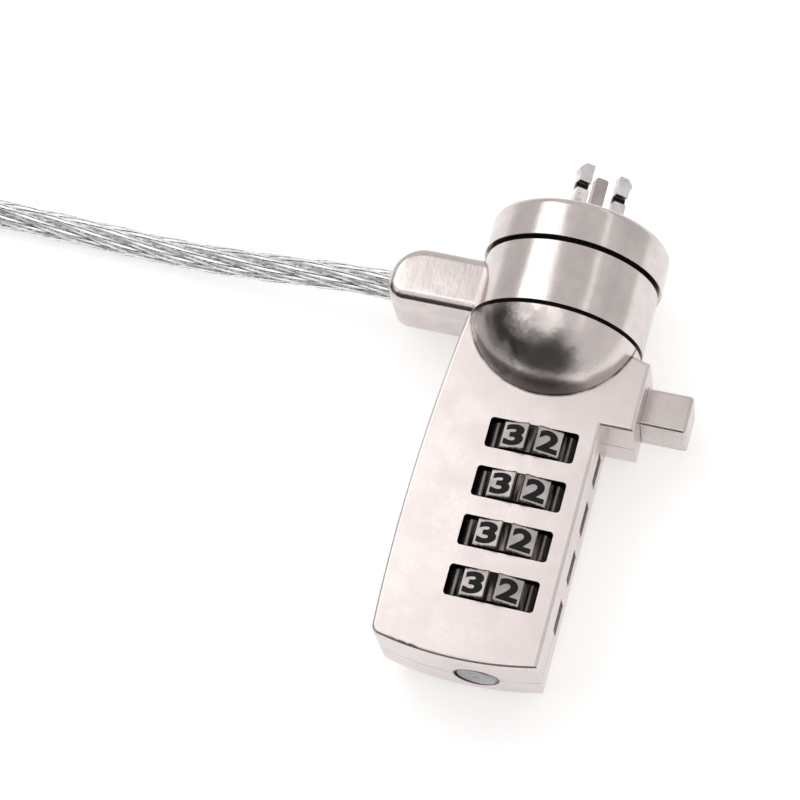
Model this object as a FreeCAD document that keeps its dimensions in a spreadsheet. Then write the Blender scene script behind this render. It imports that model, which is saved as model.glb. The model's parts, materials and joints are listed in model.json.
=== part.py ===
import FreeCAD, Part
import math
import os
import Sketcher

Vector = FreeCAD.Vector
doc = FreeCAD.newDocument("cable_lock")

# ---------------------------------------------------------------- driving dimensions
# Frame: the lock lies on its back. +Z is its front, +Y points to the hooks, -X to the
# cable. The origin is on the back face, under the middle of the four dials.
DIMENSIONS = {
    # case
    "case_thick": 13.6, "parting_height": 7.9, "case_top": 22.7,
    "left_side": -12.5, "left_low": -12.0, "left_high": -11.3, "right_side": 7.3,
    "bottom_corner": -17.0, "bottom_middle": -18.1, "corner_round": 1.2,
    "back_round": 4.6, "front_round": 0.45,
    "boss_side": 11.05, "boss_low": 12.65, "boss_high": 21.3, "shoulder_side": 8.4,
    "shoulder_slope": 0.7,
    "window_wide": 10.45, "window_high": 3.75, "window_round": 0.45, "dial_pitch": 6.08,
    "pocket_radius": 6.95, "slot_tall": 2.6,
    "leaf_left": -10.0, "leaf_half": 13.0, "leaf_back": 5.2, "leaf_front": 9.8,
    "leaf_thick": 0.3, "leaf_gap": 0.1, "finger_half": 0.9, "finger_end": -6.85,
    "finger_level": 0.4, "leaf_room_side": -6.3,
    # dials and their hubs
    "dial_flat": 6.55, "dial_width": 3.3, "dial_bore": 4.1, "pad_groove": 0.72,
    "pad_groove_floor": 0.34, "pad_groove_deep": 0.85,
    "hub_journal": 3.2, "hub_journal_long": 0.8, "hub_bore": 1.9, "running_gap": 0.05,
    # barrel: stem, collar and cap turn about one axis
    "barrel_across": -0.9, "barrel_height": 10.75, "dome_radius": 10.55, "dome_middle": 25.0,
    "collar_radius": 10.4, "collar_low": 23.2, "collar_high": 30.9,
    "cap_radius": 10.75, "cap_low": 31.4, "cap_high": 36.5, "cap_round": 1.0,
    "nose_radius": 5.0, "nose_high": 38.4, "nose_slope": 0.4, "room_radius": 5.9,
    "room_high": 36.0, "slot_gap": 0.25,
    "stem_radius": 6.0, "stem_low": 20.6, "stem_high": 33.4, "flange_radius": 7.2,
    "flange_high": 22.0, "washer_radius": 9.0, "washer_thick": 0.4, "spring_room": 2.3,
    "spring_shoulder": 27.0, "snug": 0.03, "ring_low": 32.2, "ring_thick": 0.6, "ring_deep": 0.45,
    # cable lug
    "lug_end": -22.0, "lug_front": 12.9, "lug_back": 3.5, "lug_low": 23.6, "lug_high": 30.8,
    "lug_round": 1.3, "lug_low_round": 2.2, "lug_high_round": 4.0,
    "cable_height": 7.7, "cable_level": 27.2, "cable_diameter": 4.0,
    "cable_start": -19.0, "stop_radius": 3.0, "stop_long": 6.4,
    # button, its chamber and spring
    "button_low": 15.15, "button_high": 19.9, "button_back": 3.9, "button_front": 9.9,
    "button_end": 16.45, "button_travel": 2.5, "flange_face": 9.3, "flange_thick": 1.6,
    "chamber_left": -5.5, "chamber_right": 9.6, "chamber_low": 14.2, "chamber_high": 20.6,
    "chamber_back": 2.4, "chamber_front": 11.4, "sliding_gap": 0.12,
    "spring_level": 17.0, "button_spring_room": 1.45, "button_spring_end": 13.0,
    "key_round": 0.45, "key_root": 0.5, "flange_rim": 0.5, "fork_half": 2.6,
    "fork_gap": 1.7, "fork_tip": 0.6, "fork_rise": 0.3, "fork_ramp_end": 5.6,
    "fork_clear": 0.15, "seat_left": 3.9, "seat_thick": 0.5, "seat_tall": 4.2,
    "seat_half": 1.5,
    # spindle and reset plunger
    "spindle_radius": 1.5, "fin_radius": 2.7, "fin_thick": 0.8, "fin_long": 0.5,
    "fin_gap": 0.15, "wall_level": 0.6, "wall_thick": 0.35,
    "spindle_travel": 1.2, "head_low": 17.9, "head_thick": 1.2, "head_radius": 3.4,
    "rod_radius": 1.0, "rod_high": 32.0, "tip_radius": 0.6, "tip_low": 33.9,
    "tip_point": 0.5, "spindle_low": -12.0,
    "plunger_radius": 2.45, "plunger_flange": 3.1, "plunger_ledge": -13.2,
    "plunger_spring_room": 1.7, "plunger_edge": 0.2, "plunger_dimple": 0.45,
    "flange_deep": 0.6, "plunger_floor": 1.8,
    # hooks: the pair, its carrier and the fixed blade are turned about the barrel axis
    "hook_turn": 25, "hook_across": 0.3, "hook_top": 45.2, "hook_span": 6.4,
    "hook_wide": 1.55, "hook_thick": 1.6, "hook_travel": 1.2, "hook_seat": 1.2,
    "barb_out": 0.2, "barb_low": 1.4, "barb_ledge": 1.1, "barb_top": 0.75,
    "barb_slope": 0.7, "notch_low": 41.8, "notch_high": 42.75, "notch_deep": 0.8,
    "blade_wide": 1.5, "blade_thick": 1.5, "blade_top": 44.7, "blade_edge": 0.25,
    "carrier_low": 33.6, "carrier_high": 35.8, "carrier_back": -3.4,
    "carrier_front": 2.6, "carrier_gap": 0.2, "ramp_half": 0.75, "ramp_play": 0.1,
}


class Size:
    """A length: its value now, and the sheet expression that gives it."""

    def __init__(self, value, text):
        self.value = float(value)
        self.text = text

    def __add__(self, other):
        other = size(other)
        return Size(self.value + other.value, f"({self.text} + {other.text})")

    def __sub__(self, other):
        other = size(other)
        return Size(self.value - other.value, f"({self.text} - {other.text})")

    def __rsub__(self, other):
        return size(other) - self

    def __mul__(self, other):
        other = size(other)
        return Size(self.value * other.value, f"({self.text} * {other.text})")

    def __truediv__(self, other):
        other = size(other)
        return Size(self.value / other.value, f"({self.text} / {other.text})")

    def __neg__(self):
        return Size(-self.value, f"(-{self.text})")

    __radd__ = __add__
    __rmul__ = __mul__


def size(value):
    return value if isinstance(value, Size) else Size(value, f"({float(value)!r})")


def root(value):
    return Size(math.sqrt(value.value), f"sqrt({value.text})")


def make_sheet():
    """The spreadsheet of driving dimensions; returns each as a Size."""
    sheet = doc.addObject("Spreadsheet::Sheet", "sizes")
    named = {}
    for row, (alias, value) in enumerate(DIMENSIONS.items(), start=1):
        sheet.set(f"A{row}", alias)
        sheet.set(f"B{row}", str(value))
        sheet.setAlias(f"B{row}", alias)
        named[alias] = Size(value, f"sizes.{alias}")
    doc.recompute()
    return named


D = make_sheet()
NODES = {}


def keep(obj, label):
    """Name a finished sub-part: the label is its file's name."""
    obj.Label = label
    NODES[label] = obj
    return obj


def bind(obj, prop, value):
    value = size(value)
    setattr(obj, prop, value.value)
    obj.setExpression(prop, value.text)


# ---------------------------------------------------------------- sketches and bodies
def new_body(label):
    return keep(doc.addObject("PartDesign::Body", f"{label}_body"), label)


def sketch_on(body, role, name, level=0, origin=(0, 0)):
    """A sketch on one of the body's own planes, lifted by level and shifted by origin."""
    plane = next(f for f in body.Origin.OriginFeatures if f.Role == role)
    sketch = body.newObject("Sketcher::SketchObject", name)
    sketch.AttachmentSupport = [(plane, "")]
    sketch.MapMode = "FlatFace"
    for letter, value in zip("xyz", (origin[0], origin[1], level)):
        value = size(value)
        setattr(sketch.AttachmentOffset.Base, letter, value.value)
        sketch.setExpression(f"AttachmentOffset.Base.{letter}", value.text)
    return sketch


def pin_down(sketch, index, place, point):
    """Hold one point of a sketch's geometry at (x, y) from the sketch's origin."""
    for kind, value in zip(("DistanceX", "DistanceY"), point):
        value = size(value)
        number = sketch.addConstraint(
            Sketcher.Constraint(kind, -1, 1, index, place, value.value))
        sketch.setExpression(f"Constraints[{number}]", value.text)


def flat(point):
    return Vector(size(point[0]).value, size(point[1]).value, 0)


def add_arc(sketch, start, through, end):
    arc = Part.Arc(flat(start), flat(through), flat(end))
    index = sketch.addGeometry(arc, False)
    forward = (sketch.getPoint(index, 1) - flat(start)).Length < 1e-6
    pin_down(sketch, index, 1 if forward else 2, start)
    pin_down(sketch, index, 2 if forward else 1, end)
    mark = sketch.addGeometry(Part.Point(flat(through)), True)
    pin_down(sketch, mark, 1, through)
    sketch.addConstraint(Sketcher.Constraint("PointOnObject", mark, 1, index))


def add_line(sketch, start, end):
    index = sketch.addGeometry(Part.LineSegment(flat(start), flat(end)), False)
    pin_down(sketch, index, 1, start)
    pin_down(sketch, index, 2, end)


def outline(sketch, points):
    """A closed outline. A point is (x, y); ("arc", through, end) bends to its end."""
    start = points[0]
    for point in points[1:]:
        if point[0] == "arc":
            add_arc(sketch, start, point[1], point[2])
            start = point[2]
        else:
            add_line(sketch, start, point)
            start = point
    if (flat(start) - flat(points[0])).Length > 1e-6:
        add_line(sketch, start, points[0])


def rectangle(sketch, low, high):
    outline(sketch, [low, (high[0], low[1]), high, (low[0], high[1])])


def circle(sketch, centre, radius):
    radius = size(radius)
    index = sketch.addGeometry(Part.Circle(flat(centre), Vector(0, 0, 1), radius.value), False)
    pin_down(sketch, index, 3, centre)
    number = sketch.addConstraint(Sketcher.Constraint("Radius", index, radius.value))
    sketch.setExpression(f"Constraints[{number}]", radius.text)


def feature(body, kind, name, sketch, length=None, middle=False, back=False, through=False):
    """A Pad or Pocket of a sketch."""
    made = body.newObject(f"PartDesign::{kind}", name)
    made.Profile = sketch
    if length is not None:
        bind(made, "Length", length)
    if through:
        made.Type = "ThroughAll"
    made.Midplane = middle
    made.Reversed = back
    doc.recompute()
    return made


def turned(body, kind, name, sketch, axis):
    """A Revolution or Groove of a sketch about one of its own axes."""
    made = body.newObject(f"PartDesign::{kind}", name)
    made.Profile = sketch
    made.ReferenceAxis = (sketch, [axis])
    made.Angle = 360
    doc.recompute()
    return made


def edges_where(shape, test):
    """The names of the edges whose middle point and length pass the test."""
    found = []
    for number, edge in enumerate(shape.Edges, start=1):
        middle = edge.valueAt((edge.FirstParameter + edge.LastParameter) / 2)
        if test(middle, edge):
            found.append(f"Edge{number}")
    return found


def rounded(body, name, base, radius, test, kind="Fillet"):
    made = body.newObject(f"PartDesign::{kind}", name)
    made.Base = (base, edges_where(base.Shape, test))
    bind(made, "Radius" if kind == "Fillet" else "Size", radius)
    doc.recompute()
    return made


# ---------------------------------------------------------------- part primitives
TURN = {"Z": FreeCAD.Rotation(), "Y": FreeCAD.Rotation(Vector(1, 0, 0), -90),
        "X": FreeCAD.Rotation(Vector(0, 1, 0), 90)}


def place(obj, low, turn="Z"):
    """Put an object at a corner or start point, turned to an axis letter."""
    obj.Placement = FreeCAD.Placement(Vector(*[size(v).value for v in low]), TURN[turn])
    for letter, value in zip("xyz", low):
        obj.setExpression(f"Placement.Base.{letter}", size(value).text)
    return obj


def block(name, low, high):
    made = doc.addObject("Part::Box", name)
    for prop, start, end in zip(("Length", "Width", "Height"), low, high):
        bind(made, prop, size(end) - start)
    return place(made, low)


def rod(name, along, start, radius, length):
    """A cylinder of a radius and length, from a start point along an axis letter."""
    made = doc.addObject("Part::Cylinder", name)
    bind(made, "Radius", radius)
    bind(made, "Height", length)
    return place(made, start, along)


def joined(name, *pieces):
    made = doc.addObject("Part::MultiFuse", name)
    made.Shapes = list(pieces)
    return made


def minus(name, base, *tools):
    made = doc.addObject("Part::Cut", name)
    made.Base = base
    made.Tool = tools[0] if len(tools) == 1 else joined(f"{name}_tools", *tools)
    return made


def group(label, pieces):
    """Identical separate solids kept together as one sub-part."""
    made = doc.addObject("Part::Compound", f"{label}_group")
    made.Links = list(pieces)
    return keep(made, label)


# ---------------------------------------------------------------- shared geometry
DIAL_COUNT = 4
DIAL_LEVELS = [D["dial_pitch"] * (i - 1.5) for i in reversed(range(DIAL_COUNT))]


def case_outline(sketch):
    """The lock seen from the front: a slightly bowed slab with a shoulder for the button."""
    side, corner = D["right_side"], D["bottom_corner"]
    outline(sketch, [
        (D["left_low"], corner),
        ("arc", (D["right_side"] / 2 + D["left_low"] / 2, D["bottom_middle"]), (side, corner)),
        (side, D["boss_low"]),
        (D["boss_side"], D["boss_low"]),
        (D["boss_side"], D["boss_high"]),
        (D["shoulder_side"], D["boss_high"] + D["shoulder_slope"]),
        (D["shoulder_side"], D["case_top"]),
        (D["left_high"], D["case_top"]),
        ("arc", (D["left_side"], 2), (D["left_low"], corner)),
    ])


def near(value, target, slack=0.02):
    return abs(value - target) < slack


def is_upright(edge):
    line = edge.valueAt(edge.LastParameter) - edge.valueAt(edge.FirstParameter)
    return near(abs(line.z), edge.Length, 1e-4) and edge.Length > 1e-3


def is_corner(middle, edge):
    """An upright edge at the lower left corner of the case."""
    low = D["bottom_corner"].value
    return is_upright(edge) and middle.x < D["left_low"].value + 0.1 and near(middle.y, low)


def cut_dial_room(body):
    """The room for the dials, hubs and plunger, turned about the dial axis."""
    sketch = sketch_on(body, "XY_Plane", f"{body.Label}_room", D["parting_height"])
    wide, narrow = D["pocket_radius"], D["hub_journal"] + D["running_gap"]
    half = D["window_high"] / 2
    low = D["bottom_middle"] - 1
    plunger = D["plunger_radius"] + D["running_gap"]
    ledge = D["plunger_ledge"]
    points = [(0, low), (plunger, low), (plunger, ledge), (narrow, ledge)]
    for level in reversed(DIAL_LEVELS):
        points += [(narrow, level - half), (wide, level - half)]
        points += [(wide, level + half), (narrow, level + half)]
    top = D["chamber_low"] + 0.5
    points += [(narrow, top), (0, top)]
    outline(sketch, points)
    return turned(body, "Groove", f"{body.Label}_dial_room", sketch, "V_Axis")


def cut_button_room(body):
    """The chamber behind the button, and the button's way out through the shoulder."""
    chamber = sketch_on(body, "XY_Plane", f"{body.Label}_chamber", D["chamber_back"])
    rectangle(chamber, (D["chamber_left"], D["chamber_low"]),
              (D["chamber_right"], D["chamber_high"]))
    feature(body, "Pocket", f"{body.Label}_chamber_cut", chamber,
            D["chamber_front"] - D["chamber_back"], back=True)
    gap = D["sliding_gap"]
    door = sketch_on(body, "XY_Plane", f"{body.Label}_door", D["button_back"] - gap)
    rectangle(door, (D["chamber_right"] - 1, D["button_low"] - gap),
              (D["boss_side"] + 1, D["button_high"] + gap))
    return feature(body, "Pocket", f"{body.Label}_door_cut", door,
                   D["button_front"] - D["button_back"] + gap * 2, back=True)


def cut_stem_socket(body):
    """The socket that holds the stem's flange, turned about the barrel axis."""
    sketch = sketch_on(body, "XY_Plane", f"{body.Label}_socket", D["barrel_height"],
                       (D["barrel_across"], 0))
    snug = D["snug"]
    wide, narrow = D["flange_radius"] + snug, D["stem_radius"] + snug
    low, high, top = D["stem_low"], D["flange_high"] + snug, D["case_top"] + 1
    outline(sketch, [(0, low), (wide, low), (wide, high), (narrow, high), (narrow, top),
                     (0, top)])
    return turned(body, "Groove", f"{body.Label}_socket_cut", sketch, "V_Axis")


PIN_PLACES = [(-9.0, 17.4), (-8.6, -15.4), (4.9, -15.2)]
PIN_RADIUS, PIN_LOW, PIN_HIGH = 1.0, 3.6, 11.6


def cut_small_rooms(body):
    """Blind holes for the dowel pins, and the slot for the dials' leaf spring."""
    holes = sketch_on(body, "XY_Plane", f"{body.Label}_pin_holes", PIN_LOW)
    for middle in PIN_PLACES:
        circle(holes, middle, PIN_RADIUS)
    feature(body, "Pocket", f"{body.Label}_pin_cut", holes, PIN_HIGH - PIN_LOW, back=True)
    leaf = sketch_on(body, "XY_Plane", f"{body.Label}_leaf", D["leaf_back"])
    gap = D["leaf_gap"]
    rectangle(leaf, (D["leaf_left"] - gap, -D["leaf_half"] - gap),
              (D["leaf_room_side"], D["leaf_half"] + gap))
    return feature(body, "Pocket", f"{body.Label}_leaf_cut", leaf,
                   D["leaf_front"] - D["leaf_back"], back=True)


def cut_rooms(body):
    cut_dial_room(body)
    cut_button_room(body)
    cut_stem_socket(body)
    cut_small_rooms(body)
    slots = sketch_on(body, "YZ_Plane", f"{body.Label}_side_slots", D["right_side"] + 1)
    half, tall = D["window_high"] / 2, D["slot_tall"] / 2
    for level in DIAL_LEVELS:
        rectangle(slots, (level - half, D["parting_height"] - tall),
                  (level + half, D["parting_height"] + tall))
    feature(body, "Pocket", f"{body.Label}_side_slot_cut", slots, 2)


def make_front_case():
    body = new_body("front_case")
    parting, thick = D["parting_height"], D["case_thick"]
    face = sketch_on(body, "XY_Plane", "front_outline", parting)
    case_outline(face)
    slab = feature(body, "Pad", "front_slab", face, thick - parting)
    slab = rounded(body, "front_corner", slab, D["corner_round"], is_corner)
    top, high = thick.value, D["case_top"].value
    slab = rounded(body, "front_edges", slab, D["front_round"],
                   lambda m, e: near(m.z, top) and m.y < high - 0.01)
    dome = sketch_on(body, "YZ_Plane", "dome_half", D["barrel_across"], (0, D["barrel_height"]))
    radius, middle = D["dome_radius"], D["dome_middle"]
    lift = D["case_top"] - middle
    rim = root(radius * radius - lift * lift)
    slant = radius * 0.7071
    outline(dome, [(D["case_top"], 0), (D["case_top"], rim),
                   ("arc", (middle - slant, slant), (middle - radius, 0))])
    turned(body, "Revolution", "dome", dome, "H_Axis")
    below = sketch_on(body, "XY_Plane", "below_parting", parting)
    rectangle(below, (-30, -30), (30, 30))
    feature(body, "Pocket", "trim_below", below, through=True)
    windows = sketch_on(body, "XY_Plane", "windows", thick + 1)
    half_wide, half_high = D["window_wide"] / 2, D["window_high"] / 2
    for level in DIAL_LEVELS:
        rectangle(windows, (-half_wide, level - half_high), (half_wide, level + half_high))
    cut = feature(body, "Pocket", "window_cut", windows, thick - parting - 2)
    rounded(body, "window_corners", cut, D["window_round"],
            lambda m, e: is_upright(e) and near(abs(m.x), half_wide.value)
            and abs(m.y) < half_high.value + DIAL_LEVELS[0].value + 0.1)
    cut_rooms(body)
    return body


def make_rear_case():
    body = new_body("rear_case")
    parting = D["parting_height"]
    face = sketch_on(body, "XY_Plane", "rear_outline", 0)
    case_outline(face)
    slab = feature(body, "Pad", "rear_slab", face, parting)
    slab = rounded(body, "rear_corner", slab, D["corner_round"], is_corner)
    high = D["case_top"].value
    rounded(body, "rear_edges", slab, D["back_round"],
            lambda m, e: near(m.z, 0) and m.y < high - 0.01)
    cut_rooms(body)
    return body


def upright_body(label, across=0, height=0, turn=0):
    """A body whose own Y axis lies along the barrel or the dial axis."""
    body = new_body(label)
    turn = size(turn)
    body.Placement = FreeCAD.Placement(Vector(0, 0, 0),
                                       FreeCAD.Rotation(Vector(0, 1, 0), turn.value or 0))
    for letter, value in (("x", across), ("z", height)):
        body.setExpression(f"Placement.Base.{letter}", size(value).text)
    return body


def barrel_body(label):
    return upright_body(label, D["barrel_across"], D["barrel_height"])


HOOK_TURN = math.radians(DIMENSIONS["hook_turn"])


def hook_axis_body(label):
    """On the barrel's axis, turned as the hooks are."""
    return upright_body(label, D["barrel_across"], D["barrel_height"], D["hook_turn"])


def hook_body(label):
    """Turned as the hooks are, in the middle between them: a little off the axis."""
    aside = D["hook_across"]
    return upright_body(label, D["barrel_across"] + aside * math.cos(HOOK_TURN),
                        D["barrel_height"] - aside * math.sin(HOOK_TURN), D["hook_turn"])


def dial_axis_body(label):
    return upright_body(label, 0, D["parting_height"])


def spun(body, points, name="profile"):
    """Turn a profile of (radius, height) points about the body's own Y axis."""
    sketch = sketch_on(body, "XY_Plane", f"{body.Label}_{name}")
    outline(sketch, points)
    return turned(body, "Revolution", f"{body.Label}_{name}_turned", sketch, "V_Axis")


def bar(body, name, low, high, cut=False):
    """A square block added to a body or cut from it, from low to high corner."""
    sketch = sketch_on(body, "XY_Plane", f"{body.Label}_{name}", low[2])
    rectangle(sketch, low[:2], high[:2])
    kind = "Pocket" if cut else "Pad"
    return feature(body, kind, f"{body.Label}_{name}_block", sketch,
                   size(high[2]) - low[2], back=cut)


def make_dial(number, level):
    """A ring with ten flat pads for the digits; a groove between two pads faces front."""
    body = dial_axis_body(f"dial_{number}")
    body.setExpression("Placement.Base.y", level.text)
    corner = D["dial_flat"] / math.cos(math.pi / 10)
    ring = sketch_on(body, "XZ_Plane", f"dial_{number}_ring")
    points = []
    for side in range(10):
        angle = math.radians(36 * side)
        points.append((corner * math.sin(angle), corner * math.cos(angle)))
    outline(ring, points)
    circle(ring, (0, 0), D["dial_bore"])
    feature(body, "Pad", f"dial_{number}_pad", ring, D["dial_width"], middle=True)
    groove = sketch_on(body, "XZ_Plane", f"dial_{number}_groove")
    top, floor = corner + 0.5, corner - D["pad_groove_deep"]
    wide, narrow = D["pad_groove"] + 0.2, D["pad_groove_floor"]
    outline(groove, [(-wide, top), (wide, top), (narrow, floor), (-narrow, floor)])
    cut = feature(body, "Pocket", f"dial_{number}_groove_cut", groove, D["dial_width"] + 1,
                  middle=True)
    around = body.newObject("PartDesign::PolarPattern", f"dial_{number}_grooves")
    around.Originals = [cut]
    around.Axis = (groove, ["N_Axis"])
    around.Angle = 360
    around.Occurrences = 10
    body.Tip = around
    doc.recompute()
    return body


def make_hub(number, level):
    """The sleeve inside a dial: a journal each side and a thin wall with one gate.

    The wall stops the spindle's fin unless the gate is over it. A full lift carries the
    fin right through, so the dial turns freely again while the button is held in."""
    body = dial_axis_body(f"dial_hub_{number}")
    body.setExpression("Placement.Base.y", level.text)
    half = D["dial_width"] / 2
    end = half + D["hub_journal_long"]
    sleeve, journal, bore = D["dial_bore"] - D["snug"], D["hub_journal"], D["hub_bore"]
    relief = D["fin_radius"] + 0.15
    wall_low, wall_high = D["wall_level"], D["wall_level"] + D["wall_thick"]
    spun(body, [(bore, wall_low), (relief, wall_low), (relief, -end), (journal, -end),
                (journal, -half), (sleeve, -half), (sleeve, half), (journal, half),
                (journal, end), (relief, end), (relief, wall_high), (bore, wall_high)])
    half_fin = D["fin_thick"] / 2 + D["sliding_gap"]
    bar(body, "gate", (-half_fin, wall_low - 0.1, -relief), (half_fin, wall_high + 0.1, 0),
        cut=True)
    return body


def make_barrel_stem():
    """The fixed post that the collar turns on, bored off centre for the spindle."""
    body = barrel_body("barrel_stem")
    radius, low, high = D["stem_radius"], D["stem_low"], D["stem_high"]
    groove_low, groove_high = D["ring_low"], D["ring_low"] + D["ring_thick"]
    inner = radius - D["ring_deep"]
    spun(body, [(0, low), (D["flange_radius"], low), (D["flange_radius"], D["flange_high"]),
                (radius, D["flange_high"]), (radius, groove_low), (inner, groove_low),
                (inner, groove_high), (radius, groove_high), (radius, high), (0, high)])
    spindle_at = (-D["barrel_across"], -(D["parting_height"] - D["barrel_height"]))
    wide = sketch_on(body, "XZ_Plane", "stem_spring_room", -low + 1)
    circle(wide, (spindle_at[0], -spindle_at[1]), D["spring_room"])
    feature(body, "Pocket", "stem_spring_bore", wide, D["spring_shoulder"] - low + 1)
    thin = sketch_on(body, "XZ_Plane", "stem_rod_room", -low + 1)
    circle(thin, (spindle_at[0], -spindle_at[1]), D["rod_radius"] + D["running_gap"])
    feature(body, "Pocket", "stem_rod_bore", thin, high - low + 3)
    return body


def make_cap():
    """The round end cap: a rounded disc, a raised nose and the slot for the hooks."""
    body = hook_axis_body("cap")
    radius, low, high, edge = D["cap_radius"], D["cap_low"], D["cap_high"], D["cap_round"]
    stem, room, roof = D["stem_radius"] + D["snug"], D["room_radius"], D["room_high"]
    groove_low, groove_high = D["ring_low"], D["ring_low"] + D["ring_thick"]
    outer = stem + D["ring_deep"]
    soft, slope = edge * 0.2929, D["nose_slope"]
    spun(body, [(stem, low), (radius, low), (radius, high - edge),
                ("arc", (radius - soft, high - soft), (radius - edge, high)),
                (D["nose_radius"], high), (D["nose_radius"], D["nose_high"] - slope),
                (D["nose_radius"] - slope, D["nose_high"]), (0, D["nose_high"]), (0, roof),
                (room, roof), (room, D["stem_high"]), (stem, D["stem_high"]),
                (stem, groove_high), (outer, groove_high), (outer, groove_low),
                (stem, groove_low)])
    half, gap, across = D["hook_span"] / 2, D["slot_gap"], D["hook_across"]
    thick, travel = D["hook_thick"] / 2, D["hook_travel"]
    bar(body, "slot", (across - half - gap, roof - 1, -thick - gap),
        (across + half + gap, D["nose_high"] + 1, thick + travel + gap), cut=True)
    return body


def make_cap_ring():
    """The snap ring that locks the cap on the stem, open at one side."""
    body = barrel_body("cap_ring")
    snug = D["snug"]
    low, high = D["ring_low"] + snug, D["ring_low"] + D["ring_thick"] - snug
    inner = D["stem_radius"] - D["ring_deep"] + snug
    outer = D["stem_radius"] + D["ring_deep"] - snug
    spun(body, [(inner, low), (outer, low), (outer, high), (inner, high)])
    bar(body, "opening", (0, low - 1, -1.2), (outer + 1, high + 1, 1.2), cut=True)
    return body


def make_washers():
    """Two thin slip washers, one each side of the collar."""
    pieces = []
    for name, level in (("low", D["case_top"]), ("high", D["collar_high"])):
        start = level + D["running_gap"]
        at = (D["barrel_across"], start, D["barrel_height"])
        disc = rod(f"washer_{name}_disc", "Y", at, D["washer_radius"], D["washer_thick"])
        hole = rod(f"washer_{name}_hole", "Y", at, D["stem_radius"] + D["running_gap"],
                   D["washer_thick"])
        pieces.append(minus(f"washer_{name}", disc, hole))
    return group("slip_washers", pieces)


def make_collar():
    """The swivelling ring with the flat tongue that holds the cable."""
    body = upright_body("collar")
    across, middle = D["barrel_across"], D["barrel_height"]
    face = sketch_on(body, "XY_Plane", "lug_outline", D["lug_back"])
    end, low, high = D["lug_end"], D["lug_low"], D["lug_high"]
    under, over, soft = D["lug_low_round"], D["lug_high_round"], 0.2929
    outline(face, [(across - 2, low), (end + under, low),
                   ("arc", (end + under * soft, low + under * soft), (end, low + under)),
                   (end, high - over),
                   ("arc", (end + over * soft, high - over * soft), (end + over, high)),
                   (across - 2, high)])
    tongue = feature(body, "Pad", "lug", face, D["lug_front"] - D["lug_back"])
    front, back = D["lug_front"].value, D["lug_back"].value
    root_side = across.value - 2.1
    rounded(body, "lug_edges", tongue, D["lug_round"],
            lambda m, e: (near(m.z, front) or near(m.z, back)) and m.x < root_side)
    ring = sketch_on(body, "XY_Plane", "ring_half", middle, (across, 0))
    rectangle(ring, (0, D["collar_low"]), (D["collar_radius"], D["collar_high"]))
    turned(body, "Revolution", "ring", ring, "V_Axis")
    bore = sketch_on(body, "XY_Plane", "bore_half", middle, (across, 0))
    rectangle(bore, (0, D["collar_low"] - 1),
              (D["stem_radius"] + D["running_gap"], D["collar_high"] + 1))
    turned(body, "Groove", "bore", bore, "V_Axis")
    height, level = D["cable_height"], D["cable_level"]
    hole = sketch_on(body, "YZ_Plane", "cable_hole", end - 1)
    circle(hole, (level, height), D["cable_diameter"] / 2 + D["running_gap"])
    feature(body, "Pocket", "cable_bore", hole, across - end - 3, back=True)
    wide = sketch_on(body, "YZ_Plane", "stop_hole", D["cable_start"])
    circle(wide, (level, height), D["stop_radius"] + D["snug"])
    feature(body, "Pocket", "stop_bore", wide, across - D["cable_start"] - 3, back=True)
    return body


def make_cable_stop():
    """The ferrule swaged on the cable's inner end, held behind the step in the lug."""
    at = (D["cable_start"] + D["snug"], D["cable_level"], D["cable_height"])
    return keep(rod("cable_stop_body", "X", at, D["stop_radius"], D["stop_long"]),
                "cable_stop")


def make_button():
    """The square push button: its flange stays inside and its fork lifts the spindle."""
    body = new_body("button")
    low, high = D["button_low"], D["button_high"]
    back, front = D["button_back"], D["button_front"]
    face, key_start = D["flange_face"], D["flange_face"] - D["key_root"]
    key = bar(body, "key", (key_start, low, back), (D["button_end"], high, front))
    end, long = D["button_end"].value, (D["button_end"] - key_start).value
    rounded(body, "key_edges", key, D["key_round"],
            lambda m, e: near(m.x, end) or (m.x > face.value and near(e.Length, long, 0.1)))
    inner, rim = face - D["flange_thick"], D["flange_rim"]
    bar(body, "flange", (inner, low - rim, back - rim), (face, high + rim, front + rim))
    height, half, gap = D["parting_height"], D["fork_half"], D["fork_gap"]
    fork = sketch_on(body, "XY_Plane", "fork_side", height - half)
    slope = D["spindle_travel"] / D["button_travel"]
    tip, ramp_end, under = D["fork_tip"], D["fork_ramp_end"], low + D["fork_rise"]
    ramp_low = D["head_low"] - D["fork_clear"] - D["spindle_travel"]
    ramp_high = ramp_low + slope * (ramp_end - tip)
    outline(fork, [(inner, under), (tip, under), (tip, ramp_low), (ramp_end, ramp_high),
                   (inner, ramp_high)])
    feature(body, "Pad", "fork", fork, half * 2)
    bar(body, "fork_slot", (0, low, height - gap), (inner, high + rim, height + gap), cut=True)
    hole = sketch_on(body, "YZ_Plane", "spring_hole", inner - 1)
    circle(hole, (D["spring_level"], height), D["button_spring_room"])
    feature(body, "Pocket", "spring_bore", hole, D["button_spring_end"] - inner + 1, back=True)
    return body


def make_spindle():
    """The shaft through the dials: four fins, a lifting head and the rod to the hooks."""
    body = dial_axis_body("spindle")
    shaft, thin, tip = D["spindle_radius"], D["rod_radius"], D["tip_radius"]
    low, head, head_top = D["spindle_low"], D["head_low"], D["head_low"] + D["head_thick"]
    rod_high, peak, point = D["rod_high"], D["tip_low"], D["tip_low"] + D["tip_point"]
    spun(body, [(0, low), (shaft, low), (shaft, head), (D["head_radius"], head),
                (D["head_radius"], head_top), (thin, head_top), (thin, rod_high),
                (tip, rod_high), (tip, peak), (tip / 6, point), (0, point)])
    half = D["fin_thick"] / 2
    for number, level in enumerate(DIAL_LEVELS, start=1):
        start = level + D["wall_level"] - D["fin_gap"] - D["fin_long"]
        bar(body, f"fin_{number}", (-half, start, -D["fin_radius"]),
            (half, start + D["fin_long"], -shaft / 3))
    return body


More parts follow.
